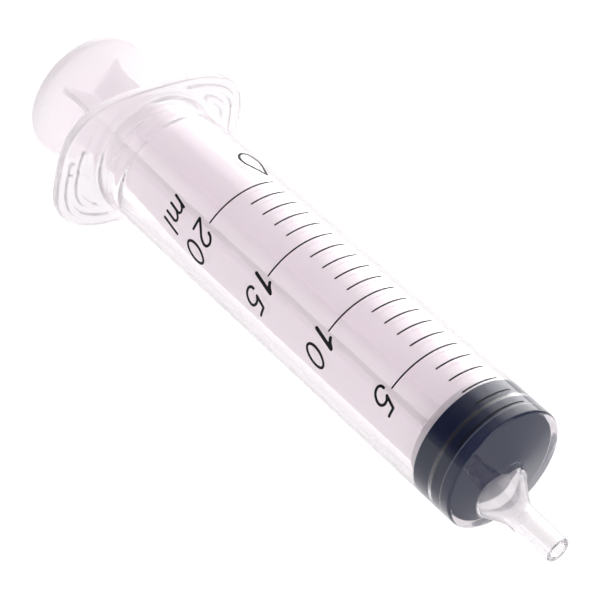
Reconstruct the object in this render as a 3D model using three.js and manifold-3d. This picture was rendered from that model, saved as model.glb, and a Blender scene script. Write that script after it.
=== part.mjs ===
// A 20 ml oral syringe in three pieces: a clear barrel with a finger flange and an off-centre nozzle,
// a rubber stopper, and a cross-ribbed plunger rod whose head snaps into the stopper.
// Millimetres. +X runs along the barrel towards the nozzle, +Y along the finger flange and +Z is up,
// with the nozzle on the low side, the way a syringe lies on a table. The plunger is fully home.
// Every "...X" below is measured along the barrel from the 0 ml mark, which is negative towards the thumb.
import * as THREE from "three";
import { mergeVertices } from "three/addons/utils/BufferGeometryUtils.js";
import Module from "manifold-3d";

const wasm = await Module();
wasm.setup();

// Bore and scale: the bore's area turns millilitres into millimetres.
const BORE_RADIUS = 10.1;
const WALL = 1.2;
const BARREL_RADIUS = BORE_RADIUS + WALL;
const MM_PER_ML = 1000 / (Math.PI * BORE_RADIUS ** 2);
const CAPACITY_ML = 20;
const SPARE_BARREL = 29;
const FLANGE_REAR_X = -CAPACITY_ML * MM_PER_ML - SPARE_BARREL;

// Front end of the barrel: a shallow cone outside and inside, with a round shoulder and a gate mark.
const SHOULDER_X = 2.7;
const SHOULDER_ROUND = 0.5;
const END_CONE_RISE = 1.7;
const SEAT_EDGE_X = 0.1;
const SEAT_CONE_RISE = 3.3;
const GATE_RADIUS = 2.5;
const GATE_DEPTH = 0.15;

// Nozzle, with a 6% taper that tubes and adapters push onto.
const NOZZLE_OFFSET = 5;
const NOZZLE_TIP_X = 16.9;
const NOZZLE_TIP_RADIUS = 2.2;
const NOZZLE_TAPER = 0.06;
const NOZZLE_BORE_RADIUS = 1.35;
const NOZZLE_EDGE = 0.15;
// The flare under the nozzle leans towards the middle of the barrel's end.
const FLARE_ROOT_RADIUS = 5.5;
const FLARE_START_X = 2.8;
const FLARE_END_X = 8.6;
const FLARE_LEAN = 1.3;
const FLARE_CURVE = 1.25;
const FLARE_STEPS = 8;
// Inside it, a funnel of the same shape leads from the bore to the nozzle.
const FUNNEL_RADIUS = 4.4;

// Finger flange: a rounded oval plate with two raised grip ribs on the front of each wing.
const FLANGE_HALF_LENGTH = 19.3;
const FLANGE_HALF_WIDTH = 13.6;
const FLANGE_SQUARENESS = 3;
const FLANGE_THICKNESS = 1.7;
const FLANGE_EDGE_ROUND = 0.35;
const HUB_RADIUS = 13;
const HUB_HEIGHT = 1.6;
const GRIP_RIB_WIDTH = 1.2;
const GRIP_RIB_HEIGHT = 0.5;
const GRIP_RIB_ROOTED = 0.3;
// Each grip rib follows the oval, set in from its length and its width, between two angles in degrees.
const GRIP_RIBS = [
  { insetLength: 1.9, insetWidth: 1.9, from: 176, to: 260 },
  { insetLength: 3.95, insetWidth: 3.95, from: 167, to: 236 },
];
const GRIP_RIB_STEP = 6;

// Mouth of the bore, with the bead that keeps the stopper from being pulled out.
const MOUTH_CHAMFER = 0.6;
const BEAD_TO_MOUTH = 6.8;
const BEAD_HEIGHT = 0.35;
const BEAD_HALF_WIDTH = 0.9;

// Stopper: a broad rear band and a front band with a groove between them, and a cone that meets the seat.
const STOPPER_REAR_X = -2 * MM_PER_ML - 0.06;
const STOPPER_FRONT_X = -0.1;
const SEAL_RADIUS = BORE_RADIUS - 0.08;
const GROOVE_RADIUS = 9.3;
const STOPPER_CONE_RISE = 3.3;
const BAND_ROUND = 0.2;
const REAR_BAND_WIDTH = 3.7;
const FRONT_BAND_WIDTH = 1.95;

// The snap fit: the rod's head turns freely in a socket in the stopper, behind a narrower mouth.
const SOCKET_MOUTH_RADIUS = 3.9;
const SOCKET_RADIUS = 5.7;
const SOCKET_MOUTH_DEPTH = 1.4;
const SOCKET_UNDERCUT = 0.5;
const SOCKET_WIDE_LENGTH = 1.6;
const SOCKET_TAPER = 0.7;
const HEAD_CLEARANCE = 0.3;

// Plunger rod.
const DISC_GAP = 0.2;
const FRONT_DISC_RADIUS = 9.6;
const FRONT_DISC_THICKNESS = 1.3;
const FRONT_DISC_ROUND = 0.3;
const NECK_RADIUS = 3.6;
const HEAD_RADIUS = 5.4;
const RIB_REACH = 9.35;
const RIB_TIP_THICKNESS = 1.2;
const RIB_ROOT_THICKNESS = 1.8;
const RIB_EASE = 0.3;
const RIB_FILLET = 0.5;
const ROD_REST_SPIN = -28;
const THUMB_FRONT_X = -107.2;
const THUMB_THICKNESS = 1.8;
const THUMB_RADIUS = 12;
const THUMB_ROUND = 0.6;
// The ribs spread onto the thumb disc, then run in a narrow waist that widens towards the stopper.
const FOOT_REACH = 8.4;
const FOOT_LENGTH = 3;
const WAIST_REACH = 7.5;
const WAIST_END_X = -93;
const WIDE_START_X = -71;
// How far the ribs run into the discs that they join.
const ROD_JOIN = 0.5;

const ROUND_SEGMENTS = 60;
const SMALL_SEGMENTS = 30;
const OUTLINE_POINTS = 60;
const MERGE_TOLERANCE = 1e-5;

// ---------- solids ----------

// A three.js geometry as a manifold solid: vertices merged, and slivers at a lathe's axis dropped.
function solidOf(geometry) {
  const bare = geometry.clone();
  bare.deleteAttribute("normal");
  bare.deleteAttribute("uv");
  const merged = mergeVertices(bare, MERGE_TOLERANCE);
  const corners = merged.index.array;
  const kept = [];
  for (let i = 0; i < corners.length; i += 3) {
    const [a, b, c] = corners.slice(i, i + 3);
    if (a !== b && b !== c && c !== a) kept.push(a, b, c);
  }
  const mesh = new wasm.Mesh({
    numProp: 3,
    vertProperties: Float32Array.from(merged.attributes.position.array),
    triVerts: Uint32Array.from(kept),
  });
  return new wasm.Manifold(mesh);
}

function geometryOf(solid) {
  const { vertProperties, triVerts } = solid.getMesh();
  const geometry = new THREE.BufferGeometry();
  geometry.setAttribute("position", new THREE.BufferAttribute(vertProperties, 3));
  geometry.setIndex(new THREE.BufferAttribute(triVerts, 1));
  geometry.computeVertexNormals();
  return geometry;
}

// Turns a profile of [x, radius] points round the barrel's axis. It starts and ends on the axis.
function lathe(profile, segments) {
  const points = profile.map(([x, radius]) => new THREE.Vector2(radius, x));
  return new THREE.LatheGeometry(points, segments).rotateZ(-Math.PI / 2);
}

function revolve(profile, segments = ROUND_SEGMENTS) {
  return solidOf(lathe(profile, segments));
}

// Points of an arc in a profile, as [x, radius], with angles in degrees from +X towards +radius.
function arc(x, radius, size, from, to, steps) {
  const points = [];
  for (let i = 0; i <= steps; i++) {
    const angle = THREE.MathUtils.degToRad(from + ((to - from) * i) / steps);
    points.push([x + size * Math.cos(angle), radius + size * Math.sin(angle)]);
  }
  return points;
}

// Extrudes a flat outline drawn in Y and Z along +X, from startX.
function slab(outline, startX, thickness, round = 0) {
  const geometry = new THREE.ExtrudeGeometry(new THREE.Shape(outline), {
    depth: thickness - 2 * round,
    steps: 1,
    bevelEnabled: round > 0,
    bevelThickness: round,
    bevelSize: round,
    bevelOffset: -round,
    bevelSegments: 2,
  });
  const drawnAcross = new THREE.Matrix4().makeBasis(
    new THREE.Vector3(0, 1, 0),
    new THREE.Vector3(0, 0, 1),
    new THREE.Vector3(1, 0, 0),
  );
  return solidOf(geometry.applyMatrix4(drawnAcross).translate(startX + round, 0, 0));
}

// ---------- barrel ----------

// A point on the flange's outline, or on a curve set in from it.
function ovalPoint(angle, insetLength, insetWidth) {
  const squared = (value) => Math.sign(value) * Math.abs(value) ** (2 / FLANGE_SQUARENESS);
  const y = (FLANGE_HALF_LENGTH - insetLength) * squared(Math.cos(angle));
  const z = (FLANGE_HALF_WIDTH - insetWidth) * squared(Math.sin(angle));
  return new THREE.Vector2(y, z);
}

function oval() {
  const points = [];
  for (let i = 0; i < OUTLINE_POINTS; i++) {
    points.push(ovalPoint((2 * Math.PI * i) / OUTLINE_POINTS, 0, 0));
  }
  return points;
}

// The outline of a grip rib, with round ends.
function ribOutline({ insetLength, insetWidth, from, to }) {
  const half = GRIP_RIB_WIDTH / 2;
  const steps = Math.ceil((to - from) / GRIP_RIB_STEP);
  const centres = [];
  for (let i = 0; i <= steps; i++) {
    const angle = THREE.MathUtils.degToRad(from + ((to - from) * i) / steps);
    centres.push(ovalPoint(angle, insetLength, insetWidth));
  }
  const along = centres.map((_, i) =>
    new THREE.Vector2()
      .subVectors(centres[Math.min(i + 1, steps)], centres[Math.max(i - 1, 0)])
      .normalize(),
  );
  const beside = (distance) =>
    centres.map((p, i) => new THREE.Vector2(p.x + distance * along[i].y, p.y - distance * along[i].x));
  const outer = beside(half);
  const inner = beside(-half);
  const roundEnd = (centre, start) => {
    const spoke = new THREE.Vector2().subVectors(start, centre);
    return [45, 90, 135].map((turn) => {
      const turned = spoke.clone().rotateAround(new THREE.Vector2(), THREE.MathUtils.degToRad(turn));
      return turned.add(centre);
    });
  };
  const farEnd = roundEnd(centres[steps], outer[steps]);
  const nearEnd = roundEnd(centres[0], inner[0]);
  return [...outer, ...farEnd, ...inner.reverse(), ...nearEnd];
}

function makeFlange() {
  const ribX = FLANGE_REAR_X + FLANGE_THICKNESS - GRIP_RIB_ROOTED;
  let flange = slab(oval(), FLANGE_REAR_X, FLANGE_THICKNESS, FLANGE_EDGE_ROUND);
  for (const curve of GRIP_RIBS) {
    const rib = slab(ribOutline(curve), ribX, GRIP_RIB_ROOTED + GRIP_RIB_HEIGHT);
    flange = flange.add(rib).add(rib.rotate([180, 0, 0]));
  }
  return flange;
}

// The outside of the tube, from the flange's hub to the end cone with its gate mark.
function makeShell() {
  const hubX = FLANGE_REAR_X + FLANGE_THICKNESS;
  const hubRise = HUB_RADIUS - BARREL_RADIUS;
  const hubFillet = arc(0, 1, 1, 180, 270, 5).map(([x, radius]) => [
    hubX + (x + 1) * HUB_HEIGHT,
    BARREL_RADIUS + radius * hubRise,
  ]);
  const coneX = (radius) => SHOULDER_X + END_CONE_RISE * (1 - radius / (BARREL_RADIUS - SHOULDER_ROUND));
  const gateFloorX = coneX(GATE_RADIUS) - GATE_DEPTH;
  return revolve([
    [FLANGE_REAR_X, 0],
    [FLANGE_REAR_X, HUB_RADIUS],
    ...hubFillet,
    ...arc(SHOULDER_X - SHOULDER_ROUND, BARREL_RADIUS - SHOULDER_ROUND, SHOULDER_ROUND, 90, 0, 5),
    [coneX(GATE_RADIUS), GATE_RADIUS],
    [gateFloorX, GATE_RADIUS - GATE_DEPTH],
    [gateFloorX, 0],
  ]);
}

function makeBore() {
  const beadX = FLANGE_REAR_X + BEAD_TO_MOUTH;
  const bead = [-1, -0.6, -0.2, 0.2, 0.6, 1].map((place) => [
    beadX + place * BEAD_HALF_WIDTH,
    BORE_RADIUS - BEAD_HEIGHT * Math.cos((place * Math.PI) / 2) ** 2,
  ]);
  return revolve([
    [FLANGE_REAR_X - 1, 0],
    [FLANGE_REAR_X - 1, BORE_RADIUS + MOUTH_CHAMFER],
    [FLANGE_REAR_X, BORE_RADIUS + MOUTH_CHAMFER],
    [FLANGE_REAR_X + MOUTH_CHAMFER, BORE_RADIUS],
    ...bead,
    [SEAT_EDGE_X, BORE_RADIUS],
    [SEAT_EDGE_X + SEAT_CONE_RISE, 0],
  ]);
}

function makeNozzle() {
  const length = NOZZLE_TIP_X - FLARE_START_X;
  const tube = revolve(
    [
      [FLARE_START_X, 0],
      [FLARE_START_X, NOZZLE_TIP_RADIUS + (length * NOZZLE_TAPER) / 2],
      [NOZZLE_TIP_X - NOZZLE_EDGE, NOZZLE_TIP_RADIUS],
      [NOZZLE_TIP_X, NOZZLE_TIP_RADIUS - NOZZLE_EDGE],
      [NOZZLE_TIP_X, 0],
    ],
    SMALL_SEGMENTS,
  );
  const flare = makeTrumpet(FLARE_ROOT_RADIUS, NOZZLE_TIP_RADIUS, FLARE_START_X);
  return tube.translate([0, 0, -NOZZLE_OFFSET]).add(flare);
}

// A leaning trumpet that narrows from the barrel's end to the nozzle, starting at startX.
function makeTrumpet(rootRadius, endRadius, startX) {
  const profile = [[startX, 0]];
  if (startX < FLARE_START_X) profile.push([startX, rootRadius]);
  for (let i = 0; i <= FLARE_STEPS; i++) {
    const along = i / FLARE_STEPS;
    const spread = (1 - along) ** FLARE_CURVE;
    profile.push([
      THREE.MathUtils.lerp(FLARE_START_X, FLARE_END_X, along),
      THREE.MathUtils.lerp(endRadius, rootRadius, spread),
    ]);
  }
  profile.push([FLARE_END_X, 0]);
  const lean = FLARE_LEAN / (FLARE_END_X - FLARE_START_X);
  const leaning = new THREE.Matrix4()
    .makeTranslation(0, 0, lean * FLARE_END_X - NOZZLE_OFFSET)
    .multiply(new THREE.Matrix4().makeShear(0, -lean, 0, 0, 0, 0));
  return solidOf(lathe(profile, SMALL_SEGMENTS).applyMatrix4(leaning));
}

function makeNozzleBore() {
  const channel = revolve(
    [
      [FLARE_START_X, 0],
      [FLARE_START_X, NOZZLE_BORE_RADIUS],
      [NOZZLE_TIP_X - NOZZLE_EDGE, NOZZLE_BORE_RADIUS],
      [NOZZLE_TIP_X + NOZZLE_EDGE, NOZZLE_BORE_RADIUS + 2 * NOZZLE_EDGE],
      [NOZZLE_TIP_X + NOZZLE_EDGE, 0],
    ],
    SMALL_SEGMENTS,
  );
  const funnel = makeTrumpet(FUNNEL_RADIUS, NOZZLE_BORE_RADIUS, 0);
  return channel.translate([0, 0, -NOZZLE_OFFSET]).add(funnel);
}

function makeBarrel() {
  return makeShell().add(makeFlange()).add(makeNozzle()).subtract(makeBore()).subtract(makeNozzleBore());
}

// ---------- stopper ----------

// A band that bears on the bore, rounded at both edges.
function band(fromX, toX, radius, round) {
  return [
    ...arc(fromX + round, radius - round, round, 180, 90, 3),
    ...arc(toX - round, radius - round, round, 90, 0, 3),
  ];
}

function makeStopper() {
  const rearBandEndX = STOPPER_REAR_X + REAR_BAND_WIDTH;
  const frontBandX = STOPPER_FRONT_X - FRONT_BAND_WIDTH;
  const outside = revolve([
    [STOPPER_REAR_X, 0],
    ...band(STOPPER_REAR_X, rearBandEndX, SEAL_RADIUS, BAND_ROUND),
    [rearBandEndX, GROOVE_RADIUS],
    [frontBandX, GROOVE_RADIUS],
    ...band(frontBandX, STOPPER_FRONT_X, SEAL_RADIUS, BAND_ROUND),
    [STOPPER_FRONT_X + STOPPER_CONE_RISE, 0],
  ]);
  const mouthEndX = STOPPER_REAR_X + SOCKET_MOUTH_DEPTH;
  const wideX = mouthEndX + SOCKET_UNDERCUT;
  const wideEndX = wideX + SOCKET_WIDE_LENGTH;
  const socket = revolve(
    [
      [STOPPER_REAR_X - DISC_GAP, 0],
      [STOPPER_REAR_X - DISC_GAP, SOCKET_MOUTH_RADIUS],
      [mouthEndX, SOCKET_MOUTH_RADIUS],
      [wideX, SOCKET_RADIUS],
      [wideEndX, SOCKET_RADIUS],
      [wideEndX + SOCKET_TAPER, SOCKET_MOUTH_RADIUS],
      [wideEndX + SOCKET_TAPER, 0],
    ],
    SMALL_SEGMENTS,
  );
  return outside.subtract(socket);
}

// ---------- plunger rod ----------

// Four tapered ribs round the axis, seen end on, with eased tips and a fillet in each corner.
function crossOutline(reach) {
  const quarterTurn = Math.PI / 2;
  const halfRoot = RIB_ROOT_THICKNESS / 2;
  const corners = [
    [reach - RIB_EASE, -RIB_TIP_THICKNESS / 2],
    [reach, -RIB_TIP_THICKNESS / 4],
    [reach, RIB_TIP_THICKNESS / 4],
    [reach - RIB_EASE, RIB_TIP_THICKNESS / 2],
    [halfRoot + RIB_FILLET, halfRoot],
    [halfRoot, halfRoot + RIB_FILLET],
  ];
  const outline = [];
  for (let k = 0; k < 4; k++) {
    for (const [y, z] of corners) {
      outline.push(new THREE.Vector2(y, z).rotateAround(new THREE.Vector2(), k * quarterTurn));
    }
  }
  return outline;
}

function makeRod() {
  const discFrontX = STOPPER_REAR_X - DISC_GAP;
  const discRearX = discFrontX - FRONT_DISC_THICKNESS;
  const headX = STOPPER_REAR_X + SOCKET_MOUTH_DEPTH + HEAD_CLEARANCE;
  const headWideX = headX + SOCKET_UNDERCUT;
  const headEndX = headWideX + SOCKET_WIDE_LENGTH - HEAD_CLEARANCE;
  const head = revolve(
    [
      [discRearX, 0],
      [discRearX, NECK_RADIUS],
      [headX, NECK_RADIUS],
      [headWideX, HEAD_RADIUS],
      [headEndX - SOCKET_TAPER, HEAD_RADIUS],
      [headEndX, NECK_RADIUS],
      [headEndX, 0],
    ],
    SMALL_SEGMENTS,
  );
  const disc = revolve([
    [discRearX, 0],
    ...band(discRearX, discFrontX, FRONT_DISC_RADIUS, FRONT_DISC_ROUND),
    [discFrontX, 0],
  ]);
  const thumbRearX = THUMB_FRONT_X - THUMB_THICKNESS;
  const thumb = revolve([
    [thumbRearX, 0],
    ...band(thumbRearX, THUMB_FRONT_X, THUMB_RADIUS, THUMB_ROUND),
    [THUMB_FRONT_X, 0],
  ]);
  return head.add(disc).add(thumb).add(makeRibs(discRearX));
}

// Ribs of full reach, cut down to the foot and the waist.
function makeRibs(discRearX) {
  const length = discRearX - THUMB_FRONT_X + 2 * ROD_JOIN;
  const full = slab(crossOutline(RIB_REACH), THUMB_FRONT_X - ROD_JOIN, length);
  const foot = [0, 1 / 3, 2 / 3, 1].map((along) => [
    THUMB_FRONT_X + FOOT_LENGTH * along,
    THREE.MathUtils.lerp(WAIST_REACH, FOOT_REACH, (1 - along) ** 2),
  ]);
  const clear = RIB_REACH + RIB_EASE;
  const envelope = revolve([
    [THUMB_FRONT_X - 2 * ROD_JOIN, 0],
    [THUMB_FRONT_X - 2 * ROD_JOIN, FOOT_REACH],
    ...foot,
    [WAIST_END_X, WAIST_REACH],
    [WIDE_START_X, RIB_REACH],
    [WIDE_START_X + ROD_JOIN, clear],
    [discRearX + 2 * ROD_JOIN, clear],
    [discRearX + 2 * ROD_JOIN, 0],
  ]);
  return full.intersect(envelope);
}

// ---------- assembly ----------

function part(name, solid, color, roughness, opacity = 1) {
  const material = new THREE.MeshStandardMaterial({
    color,
    roughness,
    metalness: 0,
    opacity,
    transparent: opacity < 1,
  });
  const mesh = new THREE.Mesh(geometryOf(solid), material);
  mesh.name = name;
  return mesh;
}

const barrel = part("barrel", makeBarrel(), 0xf1ecf2, 0.12, 0.35);
const stopper = part("stopper", makeStopper(), 0x1d1f29, 0.55);
const plungerRod = part("plunger_rod", makeRod(), 0xeee6ee, 0.45);
plungerRod.rotation.x = THREE.MathUtils.degToRad(ROD_REST_SPIN);

// The origin sits under the middle of the whole length, on the table that the flange's edge touches.
const syringe = new THREE.Group();
syringe.name = "oral_syringe";
const middleX = (NOZZLE_TIP_X + THUMB_FRONT_X - THUMB_THICKNESS) / 2;
syringe.position.set(-middleX, 0, FLANGE_HALF_WIDTH);
syringe.add(barrel, stopper, plungerRod);

export default syringe;
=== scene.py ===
"""Looks of a 20 ml oral syringe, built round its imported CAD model.

The barrel, the stopper and the plunger rod are lofted again from fine rings of points, and the scale is
printed on the barrel as thin ribbons of ink. Shapes are drawn in millimetres: X runs along the barrel from
the 0 ml mark, with the nozzle on the positive side, and Y and Z are measured from the barrel's axis.
"""
import math

import bpy
import numpy as np
from mathutils import Matrix, Vector


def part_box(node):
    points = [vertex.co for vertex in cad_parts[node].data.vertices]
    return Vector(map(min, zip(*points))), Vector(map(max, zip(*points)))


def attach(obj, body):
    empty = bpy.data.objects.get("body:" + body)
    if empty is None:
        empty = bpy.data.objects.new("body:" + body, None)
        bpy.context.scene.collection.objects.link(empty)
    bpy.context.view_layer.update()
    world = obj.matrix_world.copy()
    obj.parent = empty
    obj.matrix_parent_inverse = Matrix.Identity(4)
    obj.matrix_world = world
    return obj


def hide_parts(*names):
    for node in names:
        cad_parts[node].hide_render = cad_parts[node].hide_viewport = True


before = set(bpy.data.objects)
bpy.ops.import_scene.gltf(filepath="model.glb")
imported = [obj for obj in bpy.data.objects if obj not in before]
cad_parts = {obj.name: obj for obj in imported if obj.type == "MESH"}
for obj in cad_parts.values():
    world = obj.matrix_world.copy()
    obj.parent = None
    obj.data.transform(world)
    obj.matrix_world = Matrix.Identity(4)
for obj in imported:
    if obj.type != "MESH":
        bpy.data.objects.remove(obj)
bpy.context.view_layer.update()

MM = 0.001

# ---------- sizes, in mm ----------

# Where the CAD pieces are, from the frame.
BARREL_LOW, BARREL_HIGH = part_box("barrel")
STOPPER_LOW, STOPPER_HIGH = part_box("stopper")
ROD_LOW, ROD_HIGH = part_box("plunger_rod")
AXIS_Z = (STOPPER_LOW.z + STOPPER_HIGH.z) / 2
# The stopper's point is this far in front of the 0 ml mark.
STOPPER_POINT_X = 3.2
ZERO_X = STOPPER_HIGH.x - STOPPER_POINT_X * MM
FLANGE_REAR_X = (BARREL_LOW.x - ZERO_X) / MM
NOZZLE_TIP_X = (BARREL_HIGH.x - ZERO_X) / MM
FLANGE_HALF_LENGTH = BARREL_HIGH.y / MM
FLANGE_HALF_WIDTH = (BARREL_HIGH.z - AXIS_Z) / MM
STOPPER_REAR_X = (STOPPER_LOW.x - ZERO_X) / MM
SEAL_RADIUS = (STOPPER_HIGH.z - AXIS_Z) / MM
THUMB_REAR_X = (ROD_LOW.x - ZERO_X) / MM
THUMB_RADIUS = ROD_HIGH.y / MM

# Barrel.
BORE_RADIUS = SEAL_RADIUS + 0.08
BARREL_RADIUS = BORE_RADIUS + 1.2
SHOULDER_X = 2.7
SHOULDER_ROUND = 0.5
# The front's rings end at this angle round the shoulder, in degrees from the front, and the tube's begin
# just after it.
SHOULDER_SPLIT = 60
END_CONE_RISE = 1.7
SEAT_EDGE_X = 0.1
SEAT_CONE_RISE = 3.3
GATE_RADIUS = 2.5
GATE_DEPTH = 0.15
GATE_EDGE = 0.2
NOZZLE_DROP = 5.0
NOZZLE_TIP_RADIUS = 2.2
NOZZLE_TAPER = 0.06
NOZZLE_BORE_RADIUS = 1.35
NOZZLE_EDGE = 0.15
FUNNEL_RADIUS = 4.4
FLARE_ROOT_RADIUS = 5.5
FLARE_START_X = 2.8
FLARE_END_X = 8.6
FLARE_LEAN = 1.3
FLARE_CURVE = 1.25
FLARE_BLEND = 0.35
FLANGE_SQUARENESS = 3
FLANGE_THICKNESS = 1.7
FLANGE_EDGE = 0.35
HUB_RADIUS = 13.0
HUB_HEIGHT = 1.6
GRIP_RIB_WIDTH = 1.2
GRIP_RIB_HEIGHT = 0.5
# A rib's side slopes over this width, and its foot reaches this far beyond half the rib's width.
GRIP_RIB_SLOPE = 0.3
GRIP_RIB_FOOT = 0.12
# (inset from the flange's outline, first angle, last angle), repeated half a turn round.
GRIP_RIBS = ((1.9, 176, 260), (3.95, 167, 236))
MOUTH_CHAMFER = 0.6
BEAD_TO_MOUTH = 6.8
BEAD_HEIGHT = 0.25
BEAD_HALF_WIDTH = 1.5

# Stopper. The rubber is pressed this far into the clear wall, so that no air shows between them.
SQUEEZE = 0.02
# One groove runs between a rear band and the front band, which ends at the cone with a rounded edge.
REAR_BAND = 3.7
GROOVE_WIDTH = 0.55
GROOVE_RADIUS = 9.3
GROOVE_CHAMFER = 0.1
BAND_ROUND = 0.2
FRONT_EDGE = 0.15
SOCKET_MOUTH_RADIUS = 3.9
SOCKET_RADIUS = 5.7
SOCKET_MOUTH_DEPTH = 1.4
SOCKET_UNDERCUT = 0.5
SOCKET_LENGTH = 1.6
SOCKET_TAPER = 0.7
SOCKET_CHAMFER = 0.1
HEAD_CLEARANCE = 0.3

# Plunger rod.
THUMB_THICKNESS = 1.8
THUMB_ROUND = 0.6
THUMB_FRONT_X = THUMB_REAR_X + THUMB_THICKNESS
DISC_GAP = 0.2
DISC_RADIUS = 9.6
DISC_THICKNESS = 1.3
DISC_ROUND = 0.3
NECK_RADIUS = 3.6
HEAD_RADIUS = 5.4
RIB_REACH = 9.35
RIB_TIP_HALF = 0.6
RIB_ROOT_HALF = 0.9
RIB_EASE = 0.25
RIB_CORNER = 0.5
RIB_FOOT = 0.4
FOOT_REACH = 8.4
FOOT_LENGTH = 3.0
WAIST_REACH = 7.5
WAIST_END_X = -93.0
WIDE_START_X = -71.0
ROD_REST_SPIN = math.radians(-28)

# Printed scale, read round the barrel from +Y towards +Z, in degrees.
CAPACITY_ML = 20
MM_PER_ML = 1000 / (math.pi * BORE_RADIUS**2)
LINE_START = 75
SHORT_LINE_END = 111.2
LONG_LINE_END = 146.6
LINE_WIDTH = 0.3
NUMBER_START = 148.6
NUMBER_HEIGHT = 5.0
NUMBER_STROKE = 0.5
BOLD_STROKE = 0.62
UNIT_DROP = 9.0
UNIT_STROKE = 0.46
DROP_MIDDLE = 73
DROP_X = -68.0
DROP_HEIGHT = 5.6
DROP_STROKE = 0.52
SLANT = math.tan(math.radians(12.5))
INK_LIFT = 0.004
INK_THICKNESS = 0.02

SIDES = 384
ANGLES = np.arange(SIDES) * 2 * math.pi / SIDES


# ---------- meshes ----------

def circle(x, radius, height=0.0, angles=ANGLES):
    """A ring of points round a line `height` above the barrel's axis."""
    return np.column_stack(
        [np.full(len(angles), x), radius * np.cos(angles), height + radius * np.sin(angles)]
    )


def arc(x, radius, size, start, stop, steps):
    """(x, radius) pairs on an arc, with its angles in degrees from +X towards a larger radius."""
    angles = np.radians(np.linspace(start, stop, steps + 1))
    return [(x + size * math.cos(a), radius + size * math.sin(a)) for a in angles]


def add_mesh(name, points, faces, material, body, node=None):
    """A piece of the syringe: points in millimetres, riding on a CAD body."""
    mesh = bpy.data.meshes.new(name)
    placed = np.asarray(points) * MM + np.array([ZERO_X, 0, AXIS_Z])
    mesh.from_pydata(placed.tolist(), [], faces)
    mesh.materials.append(material)
    piece = bpy.data.objects.new(name, mesh)
    bpy.context.scene.collection.objects.link(piece)
    if node:
        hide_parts(node)
    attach(piece, body)
    return piece


def loft_faces(rings, sides, start=0, closed=False):
    """Quads between rings of `sides` points each, whose first point has the number `start`."""
    faces = []
    for k in range(rings if closed else rings - 1):
        here = start + k * sides
        there = start + (k + 1) % rings * sides
        for i in range(sides):
            j = (i + 1) % sides
            faces.append((here + i, here + j, there + j, there + i))
    return faces


def capped_loft(rings):
    """Points and faces of a loft that is closed at both ends by a fan round the ring's middle."""
    sides = len(rings[0])
    points = np.concatenate([*rings, [rings[0].mean(axis=0)], [rings[-1].mean(axis=0)]])
    faces = loft_faces(len(rings), sides)
    first_hub = len(rings) * sides
    last = (len(rings) - 1) * sides
    for i in range(sides):
        j = (i + 1) % sides
        faces.append((first_hub, j, i))
        faces.append((first_hub + 1, last + i, last + j))
    return points, faces


def smooth(piece, crease=32):
    """Smooth shading, apart from edges that turn by more than `crease` degrees."""
    piece.data.polygons.foreach_set("use_smooth", [True] * len(piece.data.polygons))
    piece.data.set_sharp_from_angle(angle=math.radians(crease))


# ---------- barrel ----------

def flange_reach(angles):
    """How far the flange's outline is from the axis in each direction."""
    long_way = np.abs(np.cos(angles) / FLANGE_HALF_LENGTH) ** FLANGE_SQUARENESS
    short_way = np.abs(np.sin(angles) / FLANGE_HALF_WIDTH) ** FLANGE_SQUARENESS
    return (long_way + short_way) ** (-1 / FLANGE_SQUARENESS)


def squared(share):
    """A cosine or sine, bent so that the two together follow the flange's outline."""
    return np.sign(share) * np.abs(share) ** (2 / FLANGE_SQUARENESS)


def rib_line(inset, first, last):
    """The middle of a grip rib, as points in Y and Z."""
    angles = np.radians(np.linspace(first, last, 60))
    y = (FLANGE_HALF_LENGTH - inset) * squared(np.cos(angles))
    z = (FLANGE_HALF_WIDTH - inset) * squared(np.sin(angles))
    return np.column_stack([y, z])


def rib_height(y, z):
    """How far the grip ribs stand out of the flange's front at each point."""
    height = np.zeros(len(y))
    half = GRIP_RIB_WIDTH / 2
    for shape in GRIP_RIBS:
        line = rib_line(*shape)
        for middle in (line, -line):
            away = np.hypot(y[:, None] - middle[:, 0], z[:, None] - middle[:, 1]).min(axis=1)
            edge = np.clip((half + GRIP_RIB_FOOT - away) / GRIP_RIB_SLOPE, 0, 1)
            height = np.maximum(height, GRIP_RIB_HEIGHT * edge * edge * (3 - 2 * edge))
    return height


def flare_x(y, z):
    """Where the leaning flare under the nozzle has its surface, by halving the interval."""
    low = np.full(len(y), FLARE_START_X - 2.0)
    high = np.full(len(y), FLARE_END_X)
    for _ in range(30):
        x = (low + high) / 2
        back = np.clip((FLARE_END_X - x) / (FLARE_END_X - FLARE_START_X), 0, None)
        radius = NOZZLE_TIP_RADIUS + (FLARE_ROOT_RADIUS - NOZZLE_TIP_RADIUS) * back**FLARE_CURVE
        inside = np.hypot(y, z + NOZZLE_DROP - FLARE_LEAN * back) < radius
        low = np.where(inside, x, low)
        high = np.where(inside, high, x)
    return (low + high) / 2


def front_x(y, z):
    """The barrel's front: a shallow cone with a gate mark and a rounded edge, blended into the flare."""
    radius = np.hypot(y, z)
    flat = BARREL_RADIUS - SHOULDER_ROUND
    beyond = np.clip(radius - flat, 0, None)
    cone = SHOULDER_X + END_CONE_RISE * np.clip(1 - radius / flat, 0, None)
    cone -= SHOULDER_ROUND - np.sqrt(np.clip(SHOULDER_ROUND**2 - beyond**2, 0, None))
    cone -= GATE_DEPTH * np.clip((GATE_RADIUS - radius) / GATE_EDGE + 0.5, 0, 1)
    flare = flare_x(y, z)
    overlap = np.clip(0.5 + (flare - cone) / (2 * FLARE_BLEND), 0, 1)
    return cone + (flare - cone) * overlap + FLARE_BLEND * overlap * (1 - overlap)


def seat_x(y, z):
    """The cone inside the barrel's end, which the stopper meets."""
    return SEAT_EDGE_X + SEAT_CONE_RISE * (1 - np.hypot(y, z) / BORE_RADIUS)


def nozzle_radius(x):
    return NOZZLE_TIP_RADIUS + (NOZZLE_TIP_X - x) * NOZZLE_TAPER / 2


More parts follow.
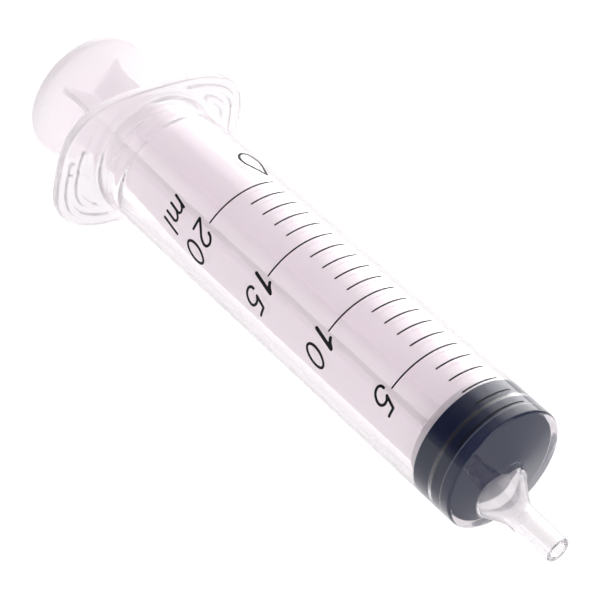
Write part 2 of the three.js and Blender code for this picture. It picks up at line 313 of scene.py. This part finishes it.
def nozzle_rings():
    """From the tip's face back to the flare."""
    tip_round = arc(NOZZLE_TIP_X - NOZZLE_EDGE, NOZZLE_TIP_RADIUS - NOZZLE_EDGE, NOZZLE_EDGE, 0, 90, 4)
    rings = [circle(x, radius, -NOZZLE_DROP) for x, radius in tip_round]
    for x in np.linspace(NOZZLE_TIP_X - 0.6, FLARE_END_X + 0.1, 12):
        rings.append(circle(x, nozzle_radius(x), -NOZZLE_DROP))
    return rings


def front_rings():
    """From the nozzle's foot out to the shoulder, with circles whose middle moves to the axis."""
    rings = []
    foot = nozzle_radius(FLARE_END_X)
    rim = BARREL_RADIUS - SHOULDER_ROUND * (1 - math.sin(math.radians(SHOULDER_SPLIT)))
    for share in np.linspace(0, 1, 96) ** 1.1:
        ring = circle(0, foot + (rim - foot) * share, -NOZZLE_DROP * (1 - share))
        ring[:, 0] = front_x(ring[:, 1], ring[:, 2])
        rings.append(ring)
    return rings


def tube_rings():
    """The shoulder, the tube and the fillet of the flange's hub."""
    hub_x = FLANGE_REAR_X + FLANGE_THICKNESS
    middle_x = SHOULDER_X - SHOULDER_ROUND
    middle_radius = BARREL_RADIUS - SHOULDER_ROUND
    profile = arc(middle_x, middle_radius, SHOULDER_ROUND, SHOULDER_SPLIT + 4, 90, 6)
    profile += [(x, BARREL_RADIUS) for x in np.linspace(0.6, hub_x + HUB_HEIGHT + 0.6, 30)]
    for x, rise in arc(1, 1, 1, 270, 180, 12):
        profile.append((hub_x + x * HUB_HEIGHT, BARREL_RADIUS + rise * (HUB_RADIUS - BARREL_RADIUS)))
    return [circle(x, radius) for x, radius in profile]


def flange_rings():
    """The flange's front with its grip ribs, its rounded edge and its back."""
    hub_x = FLANGE_REAR_X + FLANGE_THICKNESS
    reach = flange_reach(ANGLES)
    rings = []
    for share in np.linspace(0, 1, 62)[1:]:
        radius = HUB_RADIUS + (reach - FLANGE_EDGE - HUB_RADIUS) * share
        ring = circle(hub_x, radius)
        ring[:, 0] += rib_height(ring[:, 1], ring[:, 2])
        rings.append(ring)
    for x, radius in arc(hub_x - FLANGE_EDGE, 0, FLANGE_EDGE, 15, 90, 5):
        rings.append(circle(x, reach - FLANGE_EDGE + radius))
    for x, radius in arc(FLANGE_REAR_X + FLANGE_EDGE, 0, FLANGE_EDGE, 90, 180, 6):
        rings.append(circle(x, reach - FLANGE_EDGE + radius))
    mouth = BORE_RADIUS + MOUTH_CHAMFER
    for share in np.linspace(0, 1, 14)[1:]:
        radius = reach - FLANGE_EDGE + (mouth - reach + FLANGE_EDGE) * share
        rings.append(circle(FLANGE_REAR_X, radius))
    return rings


def bore_rings():
    """The mouth, the bead that keeps the stopper in, the bore and the seat."""
    profile = arc(FLANGE_REAR_X + MOUTH_CHAMFER, BORE_RADIUS + MOUTH_CHAMFER, MOUTH_CHAMFER, 190, 270, 6)
    bead_x = FLANGE_REAR_X + BEAD_TO_MOUTH
    for place in np.linspace(-1, 1, 13):
        rise = BEAD_HEIGHT * math.cos(place * math.pi / 2) ** 2
        profile.append((bead_x + place * BEAD_HALF_WIDTH, BORE_RADIUS - rise))
    profile += [(x, BORE_RADIUS) for x in np.linspace(bead_x + 2, SEAT_EDGE_X - 0.2, 26)]
    rings = [circle(x, radius) for x, radius in profile]
    edge = circle(0, BORE_RADIUS)
    mouth = funnel_mouth()
    for share in np.linspace(0, 1, 24):
        ring = edge + (mouth - edge) * share
        ring[:, 0] = seat_x(ring[:, 1], ring[:, 2])
        rings.append(ring)
    return rings


def funnel_ring(x):
    """A ring of the funnel inside the flare, at one x or at an x for every angle."""
    back = (FLARE_END_X - x) / (FLARE_END_X - FLARE_START_X)
    radius = NOZZLE_BORE_RADIUS + (FUNNEL_RADIUS - NOZZLE_BORE_RADIUS) * np.clip(back, 0, 1) ** FLARE_CURVE
    middle = FLARE_LEAN * back - NOZZLE_DROP
    return np.column_stack([x, radius * np.cos(ANGLES), middle + radius * np.sin(ANGLES)])


def funnel_mouth():
    """Where the funnel meets the seat."""
    x = np.full(SIDES, FLARE_START_X)
    for _ in range(20):
        ring = funnel_ring(x)
        x = seat_x(ring[:, 1], ring[:, 2])
    return funnel_ring(x)


def channel_rings():
    """The funnel and the nozzle's bore, from the seat to the tip."""
    mouth = funnel_mouth()[:, 0]
    start = mouth.max() + 0.4
    rings = [funnel_ring(mouth + (start - mouth) * share) for share in np.linspace(0, 1, 8)[1:]]
    rings += [funnel_ring(np.full(SIDES, x)) for x in np.linspace(start, FLARE_END_X, 18)[1:]]
    profile = [(x, NOZZLE_BORE_RADIUS) for x in np.linspace(FLARE_END_X + 0.5, NOZZLE_TIP_X - 0.5, 8)]
    profile.append((NOZZLE_TIP_X - NOZZLE_EDGE, NOZZLE_BORE_RADIUS))
    profile.append((NOZZLE_TIP_X, NOZZLE_BORE_RADIUS + NOZZLE_EDGE))
    return rings + [circle(x, radius, -NOZZLE_DROP) for x, radius in profile]


def make_barrel(material):
    """One closed skin: forward over the outside from the tip to the flange, and back through the bore."""
    rings = nozzle_rings() + front_rings() + tube_rings() + flange_rings() + bore_rings() + channel_rings()
    rings.reverse()
    points = np.concatenate(rings)
    faces = loft_faces(len(rings), SIDES, closed=True)
    smooth(add_mesh("clear_barrel", points, faces, material, "barrel", "barrel"))


# ---------- stopper ----------

def band(start, stop, radius, rounding):
    """A raised band from x = start forward to x = stop, as (x, radius) pairs."""
    rear = arc(start + rounding, radius - rounding, rounding, 180, 90, 6)
    front = arc(stop - rounding, radius - rounding, rounding, 90, 0, 6)
    return rear + front


def socket_profile():
    """The socket for the rod's head, from its floor out to the stopper's rear face."""
    mouth_end = STOPPER_REAR_X + SOCKET_MOUTH_DEPTH
    wide = mouth_end + SOCKET_UNDERCUT
    wide_end = wide + SOCKET_LENGTH
    floor = wide_end + SOCKET_TAPER
    return [
        (floor, 0.2),
        (floor, SOCKET_MOUTH_RADIUS - 0.2),
        (floor, SOCKET_MOUTH_RADIUS),
        (wide_end, SOCKET_RADIUS),
        (wide, SOCKET_RADIUS),
        (mouth_end, SOCKET_MOUTH_RADIUS),
        (STOPPER_REAR_X + SOCKET_CHAMFER, SOCKET_MOUTH_RADIUS),
        (STOPPER_REAR_X, SOCKET_MOUTH_RADIUS + SOCKET_CHAMFER),
        (STOPPER_REAR_X, BORE_RADIUS - 1),
    ]


def make_stopper(material):
    seal = BORE_RADIUS + SQUEEZE
    groove = STOPPER_REAR_X + REAR_BAND
    front = groove + GROOVE_WIDTH
    profile = socket_profile() + band(STOPPER_REAR_X, groove, seal, BAND_ROUND)
    profile += [(groove, GROOVE_RADIUS + GROOVE_CHAMFER), (groove + GROOVE_CHAMFER, GROOVE_RADIUS)]
    profile += [(front - GROOVE_CHAMFER, GROOVE_RADIUS), (front, GROOVE_RADIUS + GROOVE_CHAMFER)]
    # The front band's edge stops part of the way round, where the cone takes over.
    profile += band(front, SEAT_EDGE_X + SQUEEZE, seal, FRONT_EDGE)[:-4]
    for share in np.linspace(0.012, 0.985, 30):
        radius = BORE_RADIUS * (1 - share)
        profile.append((float(seat_x(radius, 0)) + SQUEEZE, radius))
    points, faces = capped_loft([circle(x, radius) for x, radius in profile])
    smooth(add_mesh("rubber_stopper", points, faces, material, "stopper", "stopper"))


# ---------- plunger rod ----------

def rib_section(reach, swell=0.0):
    """The rod's cross section as polar angles and radii: four ribs that taper, `swell` thicker all round."""
    tip_half = RIB_TIP_HALF + swell
    root_half = RIB_ROOT_HALF + swell
    reach = reach + swell
    corner_out = root_half + RIB_CORNER
    slope = (root_half - tip_half) / (reach - corner_out)
    half = [(reach, 0.0), (reach, tip_half * 0.35)]
    for turn in np.radians([0, 30, 60, 90]):
        half.append((reach - RIB_EASE * (1 - math.cos(turn)), tip_half - RIB_EASE * (1 - math.sin(turn))))
    start = math.atan2(tip_half, reach - RIB_EASE)
    stop = math.atan2(root_half, corner_out)
    for angle in np.linspace(start, stop, 13)[1:]:
        out = (tip_half + slope * reach) / (math.tan(angle) + slope)
        half.append((out, out * math.tan(angle)))
    for turn in np.radians([22, 45]):
        half.append((corner_out - RIB_CORNER * math.sin(turn), corner_out - RIB_CORNER * math.cos(turn)))
    quarter = [*half, *[(z, y) for y, z in reversed(half[1:-1])]]
    angles, radii = [], []
    for k in range(4):
        for y, z in quarter:
            angles.append(math.atan2(z, y) + k * math.pi / 2)
            radii.append(math.hypot(y, z))
    return np.array(angles), np.array(radii)


def rod_reach(x):
    """How far the ribs stand out: a foot on the thumb disc, then a waist that widens to the full reach."""
    foot = max(1 - (x - THUMB_FRONT_X) / FOOT_LENGTH, 0)
    widening = min(max((x - WAIST_END_X) / (WIDE_START_X - WAIST_END_X), 0), 1)
    return WAIST_REACH + (FOOT_REACH - WAIST_REACH) * foot**2 + (RIB_REACH - WAIST_REACH) * widening


def rod_rings():
    """From the thumb disc's back, along the ribs, to the head that snaps into the stopper."""
    angles, _ = rib_section(RIB_REACH)
    disc_front = STOPPER_REAR_X - DISC_GAP
    disc_rear = disc_front - DISC_THICKNESS
    head_start = STOPPER_REAR_X + SOCKET_MOUTH_DEPTH + HEAD_CLEARANCE
    head_wide = head_start + SOCKET_UNDERCUT
    head_end = head_wide + SOCKET_LENGTH - HEAD_CLEARANCE

    def section(x, swell):
        _, radii = rib_section(rod_reach(x), swell)
        return circle(x, radii, angles=angles)

    def across(x, outer, swell, steps):
        """Rings in one plane, from a circle in to the foot of the ribs."""
        _, radii = rib_section(rod_reach(x), swell)
        return [circle(x, outer + (radii - outer) * u, angles=angles) for u in np.linspace(0, 1, steps)]

    def fillet(x, direction):
        """The ribs' foot, which spreads onto a disc."""
        rings = []
        for turn in np.radians(np.linspace(0, 90, 6)):
            away = RIB_FOOT * (1 - math.sin(turn))
            rings.append(section(x + direction * away, RIB_FOOT * (1 - math.cos(turn))))
        return rings

    flat = THUMB_RADIUS - THUMB_ROUND - 0.3
    thumb = [(THUMB_REAR_X, radius) for radius in (0.3, 4.0, 8.0, flat)]
    thumb += band(THUMB_REAR_X, THUMB_FRONT_X, THUMB_RADIUS, THUMB_ROUND)
    rear_foot = across(THUMB_FRONT_X, flat, RIB_FOOT, 5)[:-1] + fillet(THUMB_FRONT_X, 1)[::-1]
    ribs = [section(x, 0) for x in np.linspace(THUMB_FRONT_X + 0.6, THUMB_FRONT_X + FOOT_LENGTH, 8)]
    ribs += [section(x, 0) for x in np.linspace(WAIST_END_X - 6, disc_rear - 0.8, 48)]
    disc_flat = DISC_RADIUS - DISC_ROUND - 0.1
    front_foot = fillet(disc_rear, -1) + across(disc_rear, disc_flat, RIB_FOOT, 4)[-2::-1]
    tip = band(disc_rear, disc_front, DISC_RADIUS, DISC_ROUND)
    tip += [(disc_front, 6.5), (disc_front, NECK_RADIUS + 0.2), (disc_front + 0.06, NECK_RADIUS + 0.06)]
    tip += [(disc_front + 0.2, NECK_RADIUS), (head_start, NECK_RADIUS), (head_wide, HEAD_RADIUS)]
    tip += [(head_end - SOCKET_TAPER, HEAD_RADIUS), (head_end, NECK_RADIUS), (head_end, 1.0)]
    thumb, tip = ([circle(x, radius, angles=angles) for x, radius in part] for part in (thumb, tip))
    return thumb + rear_foot + ribs + front_foot + tip


def make_rod(material):
    points, faces = capped_loft(rod_rings())
    turn = Matrix.Rotation(ROD_REST_SPIN, 3, "X")
    points = points @ np.array(turn).T
    rod = add_mesh("milky_plunger_rod", points, faces, material, "plunger_rod", "plunger_rod")
    smooth(rod)


# ---------- printed scale ----------

def stroke(path, width):
    """A round-ended ribbon along a path of (across, up) points: rings of four corners."""
    path = np.asarray(path, float)
    along = np.gradient(path, axis=0)
    along /= np.linalg.norm(along, axis=1)[:, None]
    half = width / 2
    sections = []
    for turn in np.radians([80, 55, 30]):
        sections.append((path[0] - along[0] * half * math.sin(turn), along[0], half * math.cos(turn)))
    sections += [(point, direction, half) for point, direction in zip(path, along)]
    for turn in np.radians([30, 55, 80]):
        sections.append((path[-1] + along[-1] * half * math.sin(turn), along[-1], half * math.cos(turn)))
    rings = []
    for middle, direction, reach in sections:
        side = np.array([-direction[1], direction[0]]) * reach
        left, right = middle + side, middle - side
        rings.append([(*left, 1), (*right, 1), (*right, 0), (*left, 0)])
    return np.array(rings)


def print_strokes(name, strokes, material):
    """Wraps strokes round the barrel: across is an arc length from +Y, and up is X."""
    points, faces = [], []
    base = 0
    for rings in strokes:
        across, up, layer = rings[..., 0], rings[..., 1], rings[..., 2]
        radius = BARREL_RADIUS + INK_LIFT + INK_THICKNESS * layer
        angle = across / BARREL_RADIUS
        wrapped = np.stack([up, radius * np.cos(angle), radius * np.sin(angle)], axis=-1)
        points.append(wrapped.reshape(-1, 3))
        count = len(rings)
        faces += loft_faces(count, 4, start=base)
        faces.append((base + 3, base + 2, base + 1, base))
        end = base + (count - 1) * 4
        faces.append((end, end + 1, end + 2, end + 3))
        base += count * 4
    return add_mesh(name, np.concatenate(points), faces, material, "barrel")


def line_strokes():
    strokes = []
    for millilitres in range(CAPACITY_ML + 1):
        x = -millilitres * MM_PER_ML
        end = LONG_LINE_END if millilitres % 5 == 0 else SHORT_LINE_END
        angles = np.radians(np.linspace(LINE_START, end, 24))
        strokes.append(stroke([(angle * BARREL_RADIUS, x) for angle in angles], LINE_WIDTH))
    return strokes


def curve(points, steps=10):
    """A smooth path through points (Catmull-Rom)."""
    points = [np.array(p, float) for p in points]
    padded = [2 * points[0] - points[1], *points, 2 * points[-1] - points[-2]]
    path = []
    for a, b, c, d in zip(padded, padded[1:], padded[2:], padded[3:]):
        for t in np.arange(steps) / steps:
            bend = 2 * a - 5 * b + 4 * c - d
            twist = 3 * b - a - 3 * c + d
            path.append(0.5 * (2 * b + (c - a) * t + bend * t**2 + twist * t**3))
    path.append(points[-1])
    return path


def ellipse(x, y, half_width, half_height, start, stop, steps=36):
    angles = np.radians(np.linspace(start, stop, steps))
    return [(x + half_width * math.cos(a), y + half_height * math.sin(a)) for a in angles]


# Each sign is drawn upright on a body one high, as paths of (across, up) points, with its advance.
SIGNS = {
    "0": (0.66, [ellipse(0.27, 0.5, 0.235, 0.45, 90, 450)]),
    "1": (0.50, [curve([(-0.10, 0.70), (0.0, 0.78), (0.09, 0.94)]), curve([(0.105, 0.95), (0.105, 0.05)])]),
    "2": (
        0.70,
        [
            curve([(0.05, 0.68), (0.09, 0.84), (0.25, 0.94), (0.42, 0.86), (0.46, 0.70), (0.38, 0.50),
                   (0.20, 0.30), (0.03, 0.06)]),
            curve([(0.03, 0.05), (0.45, 0.05)]),
        ],
    ),
    "5": (
        0.66,
        [
            curve([(0.16, 0.94), (0.47, 0.94)]),
            curve([(0.16, 0.94), (0.09, 0.50)]),
            curve([(0.09, 0.50), (0.20, 0.59), (0.36, 0.58), (0.49, 0.46), (0.50, 0.27), (0.38, 0.09),
                   (0.20, 0.05), (0.07, 0.13), (0.03, 0.25)]),
        ],
    ),
}


def sign_strokes(text, left, base):
    """Strokes of a number whose lower left corner is at an arc length `left` and x = `base`."""
    strokes = []
    for sign in text:
        advance, paths = SIGNS[sign]
        width = BOLD_STROKE if sign == "1" else NUMBER_STROKE
        for path in paths:
            placed = [
                (left + (across + up * SLANT) * NUMBER_HEIGHT, base + up * NUMBER_HEIGHT)
                for across, up in path
            ]
            strokes.append(stroke(placed, width))
        left += advance * NUMBER_HEIGHT
    return strokes


def unit_strokes(left, base):
    """The unit, a small m and a small l."""
    legs = [curve([(0, 0), (0, 2.8)])]
    for start in (0, 1.55):
        arch = curve([(start, 1.8), (start + 0.5, 2.6), (start + 1.1, 2.75), (start + 1.5, 2.3)])
        legs.append(arch + [(start + 1.55, 0)])
    legs.append(curve([(4.35, 0), (4.35, 3.9)]))
    slanted = [[(left + across + up * SLANT, base + up) for across, up in path] for path in legs]
    return [stroke(path, UNIT_STROKE) for path in slanted]


def drop_strokes():
    """A plain drop, drawn in outline beyond the scale."""
    middle = math.radians(DROP_MIDDLE) * BARREL_RADIUS
    side = [(0, 0.62), (0.19, 0.24), (0.33, -0.06), (0.33, -0.32), (0.19, -0.5), (0, -0.55)]
    outline = side + [(-across, up) for across, up in reversed(side[1:-1])] + [side[0]]
    placed = [(middle + across * DROP_HEIGHT, DROP_X + up * DROP_HEIGHT) for across, up in outline]
    return [stroke(curve(placed), DROP_STROKE)]


def number_strokes():
    left = math.radians(NUMBER_START) * BARREL_RADIUS
    strokes = []
    for millilitres in range(5, CAPACITY_ML + 1, 5):
        base = -millilitres * MM_PER_ML - NUMBER_HEIGHT / 2
        strokes += sign_strokes(str(millilitres), left, base)
    return strokes + unit_strokes(left, -CAPACITY_ML * MM_PER_ML - UNIT_DROP)


# ---------- materials ----------

# The clear plastic's tint head on, slanted and grazing, and how hazy it is from the inside and at its rim.
CLEAR_TINT = (0.985, 0.965, 0.972, 1)
SLANTED_TINT = (0.955, 0.922, 0.943, 1)
GRAZING_TINT = (0.86, 0.81, 0.84, 1)
HAZE_COLOUR = (0.965, 0.935, 0.96, 1)
TUBE_HAZE = 0.05
FLARE_HAZE = 0.4
NOZZLE_HAZE = 0.18
FLANGE_HAZE = 0.4
RIM_HAZE = 0.55
# What passes through for shadows and diffuse light.
PASSING_TINT = (0.985, 0.972, 0.98, 1)

# The dark and the light end of each noisy colour.
MILKY_COLOURS = ((0.96, 0.925, 0.95, 1), (0.985, 0.95, 0.975, 1))
RUBBER_COLOURS = ((0.004, 0.008, 0.035, 1), (0.008, 0.014, 0.06, 1))
INK_COLOURS = ((0.002, 0.002, 0.003, 1), (0.008, 0.007, 0.009, 1))
MILKY_GLOW = (1.0, 0.965, 0.985, 1)
GLOW_SHARE = 0.6


def shader(name):
    """An empty node material, its output and a function that adds and links nodes."""
    material = bpy.data.materials.new(name)
    material.use_nodes = True
    tree = material.node_tree
    tree.nodes.clear()

    def add(kind, inputs=None, **settings):
        node = tree.nodes.new(kind)
        for key, value in settings.items():
            setattr(node, key, value)
        for key, value in (inputs or {}).items():
            if isinstance(value, bpy.types.NodeSocket):
                tree.links.new(value, node.inputs[key])
            else:
                node.inputs[key].default_value = value
        return node

    return material, add


def noise(add, place, scale, detail):
    """Fine random variation between 0 and 1, fixed in the piece."""
    return add("ShaderNodeTexNoise", {"Vector": place, "Scale": scale, "Detail": detail}).outputs["Fac"]


def spread(add, value, low, high, to_low, to_high):
    """The value's range from low to high, spread over a new range."""
    ends = {"From Min": low, "From Max": high, "To Min": to_low, "To Max": to_high}
    return add("ShaderNodeMapRange", {"Value": value, **ends}).outputs["Result"]


def bumps(add, height, strength, distance):
    inputs = {"Height": height, "Strength": strength, "Distance": distance}
    return add("ShaderNodeBump", inputs).outputs["Normal"]


def mixed_colour(add, share, colours):
    """A colour between two, by the share of the second."""
    node = add("ShaderNodeMix", {"Factor": share}, data_type="RGBA")
    for index, colour in zip((6, 7), colours):
        node.inputs[index].default_value = colour
    return node.outputs[2]


def clear_plastic():
    """Polypropylene: clear head on, tinted where light runs along the wall, and hazy from the inside."""
    material, add = shader("clear_polypropylene")
    place = add("ShaderNodeTexCoord").outputs["Object"]
    rough = spread(add, noise(add, place, 90.0, 5.0), 0.3, 0.75, 0.05, 0.07)
    bump = bumps(add, noise(add, place, 45.0, 2.0), 0.002, 0.001)
    facing = add("ShaderNodeLayerWeight", {"Blend": 0.5}).outputs["Facing"]
    tint = add("ShaderNodeValToRGB", {"Fac": facing})
    stops = tint.color_ramp.elements
    stops.new(0.5)
    for stop, at, colour in zip(stops, (0.0, 0.5, 0.9), (CLEAR_TINT, SLANTED_TINT, GRAZING_TINT)):
        stop.position = at
        stop.color = colour
    plastic = add(
        "ShaderNodeBsdfPrincipled",
        {
            "Base Color": tint.outputs["Color"],
            "Roughness": rough,
            "IOR": 1.49,
            "Transmission Weight": 1.0,
            "Normal": bump,
        },
    )
    outward = add("ShaderNodeBsdfDiffuse", {"Color": HAZE_COLOUR})
    inward = add("ShaderNodeBsdfTranslucent", {"Color": HAZE_COLOUR})
    haze = add("ShaderNodeMixShader", {0: 0.5, 1: outward.outputs[0], 2: inward.outputs[0]})

    # The haze inside sets in at the barrel's front, eases off along the nozzle and returns at the flange.
    along = add("ShaderNodeSeparateXYZ", {"Vector": place}).outputs["X"]
    front = spread(add, along, ZERO_X + 1 * MM, ZERO_X + 3.5 * MM, TUBE_HAZE, FLARE_HAZE)
    flare_end = ZERO_X + FLARE_END_X * MM
    nozzle = spread(add, along, flare_end - 2 * MM, flare_end + 1 * MM, 0.0, FLARE_HAZE - NOZZLE_HAZE)
    ahead = add("ShaderNodeMath", {0: front, 1: nozzle}, operation="SUBTRACT")
    flange_start = ZERO_X + (FLANGE_REAR_X + 3) * MM
    flange_end = ZERO_X + (FLANGE_REAR_X + 6) * MM
    rear = spread(add, along, flange_start, flange_end, FLANGE_HAZE, 0.0)
    inside = add("ShaderNodeMath", {0: ahead.outputs[0], 1: rear}, operation="MAXIMUM")
    behind = add("ShaderNodeNewGeometry").outputs["Backfacing"]
    within = add("ShaderNodeMath", {0: inside.outputs[0], 1: behind}, operation="MULTIPLY")
    rim = spread(add, facing, 0.55, 1.0, 0.0, RIM_HAZE)
    amount = add("ShaderNodeMath", {0: within.outputs[0], 1: rim}, operation="MAXIMUM")
    milky = add("ShaderNodeMixShader", {0: amount.outputs[0], 1: plastic.outputs[0], 2: haze.outputs[0]})

    passing = add("ShaderNodeBsdfTransparent", {"Color": PASSING_TINT})
    rays = add("ShaderNodeLightPath").outputs
    shadow_or_diffuse = {0: rays["Is Shadow Ray"], 1: rays["Is Diffuse Ray"]}
    either = add("ShaderNodeMath", shadow_or_diffuse, operation="MAXIMUM")
    mix = add("ShaderNodeMixShader", {0: either.outputs[0], 1: milky.outputs[0], 2: passing.outputs[0]})
    add("ShaderNodeOutputMaterial", {"Surface": mix.outputs[0]})
    return material


def milky_plastic():
    """The rod's polypropylene: cloudy, and lit through as well as on its surface."""
    material, add = shader("milky_polypropylene")
    place = add("ShaderNodeTexCoord").outputs["Object"]
    cloud = noise(add, place, 60.0, 3.0)
    colour = mixed_colour(add, cloud, MILKY_COLOURS)
    bump = bumps(add, noise(add, place, 1500.0, 2.0), 0.05, 0.0002)
    rough = spread(add, cloud, 0.3, 0.7, 0.3, 0.42)
    body = add(
        "ShaderNodeBsdfPrincipled",
        {
            "Base Color": colour,
            "Roughness": rough,
            "Subsurface Weight": 0.7,
            "Subsurface Radius": (1.0, 0.85, 0.95),
            "Subsurface Scale": 0.002,
            "Normal": bump,
        },
    )
    glow = add("ShaderNodeBsdfTranslucent", {"Color": MILKY_GLOW})
    mix = add("ShaderNodeMixShader", {0: GLOW_SHARE, 1: body.outputs[0], 2: glow.outputs[0]})
    add("ShaderNodeOutputMaterial", {"Surface": mix.outputs[0]})
    return material


def stopper_rubber():
    """Blue-black rubber, with a shine that is drawn out round the axis."""
    material, add = shader("blue_black_rubber")
    place = add("ShaderNodeTexCoord").outputs["Object"]
    cloud = noise(add, place, 120.0, 4.0)
    colour = mixed_colour(add, cloud, RUBBER_COLOURS)
    rough = spread(add, cloud, 0.3, 0.7, 0.34, 0.42)
    tangent = add("ShaderNodeTangent", direction_type="RADIAL", axis="X")
    bump = bumps(add, noise(add, place, 400.0, 2.0), 0.008, 0.0001)
    body = add(
        "ShaderNodeBsdfPrincipled",
        {
            "Base Color": colour,
            "Roughness": rough,
            "Specular IOR Level": 0.2,
            "Specular Tint": (0.8, 0.85, 1.0, 1),
            "Anisotropic": 0.3,
            "Tangent": tangent.outputs[0],
            "Normal": bump,
        },
    )
    add("ShaderNodeOutputMaterial", {"Surface": body.outputs[0]})
    return material


def scale_ink():
    material, add = shader("printed_ink")
    place = add("ShaderNodeTexCoord").outputs["Object"]
    colour = mixed_colour(add, noise(add, place, 3000.0, 2.0), INK_COLOURS)
    body = add(
        "ShaderNodeBsdfPrincipled",
        {"Base Color": colour, "Roughness": 0.6, "Specular IOR Level": 0.25},
    )
    add("ShaderNodeOutputMaterial", {"Surface": body.outputs[0]})
    return material


def floor_white():
    """A lit white table: mostly its own light, so that only a faint shadow falls on it."""
    material, add = shader("white_table")
    paint = add("ShaderNodeBsdfDiffuse", {"Color": (0.12, 0.12, 0.12, 1)})
    light = add("ShaderNodeEmission", {"Color": (1, 1, 1, 1), "Strength": 0.98})
    both = add("ShaderNodeAddShader", {0: paint.outputs[0], 1: light.outputs[0]})
    add("ShaderNodeOutputMaterial", {"Surface": both.outputs[0]})
    return material


# ---------- stage ----------

# The brightest direction of the room, how bright it is, and how the room falls off with the cosine of the
# angle from it and, near the ground, with the height of the direction.
WINDOW_DIRECTION = (-0.55, 0.75, 0.35)
WINDOW_RADIANCE = 4.0
WINDOW_GLOW = ((0.0, 0.025), (0.3, 0.055), (0.6, 0.14), (0.89, 0.65), (0.98, 1.0))
GROUND_GLOW = ((-0.02, 0.25), (0.05, 0.12), (0.3, 0.02))

CAMERA_AZIMUTH = math.radians(42.82)
CAMERA_ELEVATION = math.radians(36.16)
CAMERA_ROLL = math.radians(13.58)
# Where the camera stands, in mm from the 0 ml mark.
CAMERA_STAND = (204.5, -272.0, 268.6)
LENS = 167.25
SENSOR_WIDTH = 36

# A weak lamp in front of the nozzle, in metres, and the table, just under the syringe.
FILL_PLACE = (0.9, 0.15, 0.55)
FILL_TARGET = (-0.05, 0, 0)
FILL_SIZE = (0.8, 0.8)
FILL_RADIANCE = 1.6
TABLE_HALF = 3.0
TABLE_DROP = 0.0002


def make_floor():
    mesh = bpy.data.meshes.new("table")
    corners = [(x * TABLE_HALF, y * TABLE_HALF, -TABLE_DROP) for x, y in ((-1, -1), (1, -1), (1, 1), (-1, 1))]
    mesh.from_pydata(corners, [], [(0, 1, 2, 3)])
    mesh.materials.append(floor_white())
    table = bpy.data.objects.new("table", mesh)
    bpy.context.scene.collection.objects.link(table)


def make_camera():
    """The camera, from the direction it looks in, its roll and where it stands."""
    flat = math.cos(CAMERA_ELEVATION)
    back = Vector((
        flat * math.sin(CAMERA_AZIMUTH), -flat * math.cos(CAMERA_AZIMUTH), math.sin(CAMERA_ELEVATION)
    ))
    level = Vector((0, 0, 1)).cross(back).normalized()
    right = Matrix.Rotation(CAMERA_ROLL, 3, back) @ level
    up = back.cross(right)
    data = bpy.data.cameras.new("camera")
    data.sensor_width = SENSOR_WIDTH
    data.lens = LENS
    data.clip_end = 20
    camera = bpy.data.objects.new("camera", data)
    turned = Matrix((right, up, back)).transposed().to_4x4()
    place = Vector((ZERO_X, 0, AXIS_Z)) + Vector(CAMERA_STAND) * MM
    camera.matrix_world = Matrix.Translation(place) @ turned
    bpy.context.scene.collection.objects.link(camera)
    bpy.context.scene.camera = camera


def area_light(name, place, target, size, radiance):
    data = bpy.data.lights.new(name, "AREA")
    data.shape = "RECTANGLE"
    data.size, data.size_y = size
    data.energy = radiance * math.pi * size[0] * size[1]
    light = bpy.data.objects.new(name, data)
    light.location = place
    light.rotation_euler = (Vector(target) - Vector(place)).to_track_quat("-Z", "Y").to_euler()
    bpy.context.scene.collection.objects.link(light)


def make_world():
    """A room with a broad window low behind the syringe, a dim side behind the camera and a white ground."""
    world = bpy.data.worlds.new("window_room")
    world.use_nodes = True
    tree = world.node_tree
    background = tree.nodes["Background"]
    coords = tree.nodes.new("ShaderNodeTexCoord")
    split = tree.nodes.new("ShaderNodeSeparateXYZ")
    tree.links.new(coords.outputs["Generated"], split.inputs[0])

    toward = tree.nodes.new("ShaderNodeVectorMath")
    toward.operation = "DOT_PRODUCT"
    toward.inputs[1].default_value = Vector(WINDOW_DIRECTION).normalized()
    tree.links.new(coords.outputs["Generated"], toward.inputs[0])

    def ramp(value, low, high, stops):
        """The room's light for a value between low and high, through (value, light) stops."""
        share = tree.nodes.new("ShaderNodeMapRange")
        share.inputs["From Min"].default_value = low
        share.inputs["From Max"].default_value = high
        tree.links.new(value, share.inputs["Value"])
        node = tree.nodes.new("ShaderNodeValToRGB")
        node.color_ramp.interpolation = "EASE"
        elements = node.color_ramp.elements
        while len(elements) < len(stops):
            elements.new(0.5)
        for element, (at, light) in zip(elements, stops):
            element.position = (at - low) / (high - low)
            element.color = (light, light, light, 1)
        tree.links.new(share.outputs["Result"], node.inputs[0])
        return node.outputs[0]

    window = ramp(toward.outputs["Value"], -1, 1, WINDOW_GLOW)
    ground = ramp(split.outputs["Z"], -0.5, 0.5, GROUND_GLOW)
    both = tree.nodes.new("ShaderNodeMix")
    both.data_type = "RGBA"
    both.blend_type = "LIGHTEN"
    both.inputs[0].default_value = 1
    tree.links.new(window, both.inputs[6])
    tree.links.new(ground, both.inputs[7])
    tree.links.new(both.outputs[2], background.inputs["Color"])
    background.inputs["Strength"].default_value = WINDOW_RADIANCE
    bpy.context.scene.world = world


ink = scale_ink()
make_barrel(clear_plastic())
make_stopper(stopper_rubber())
make_rod(milky_plastic())
print_strokes("scale_lines", line_strokes(), ink)
print_strokes("scale_numbers", number_strokes(), ink)
print_strokes("drop_mark", drop_strokes(), ink)

make_floor()
make_camera()
make_world()
area_light("front_fill", FILL_PLACE, FILL_TARGET, FILL_SIZE, FILL_RADIANCE)

bpy.context.scene.view_settings.view_transform = "Standard"
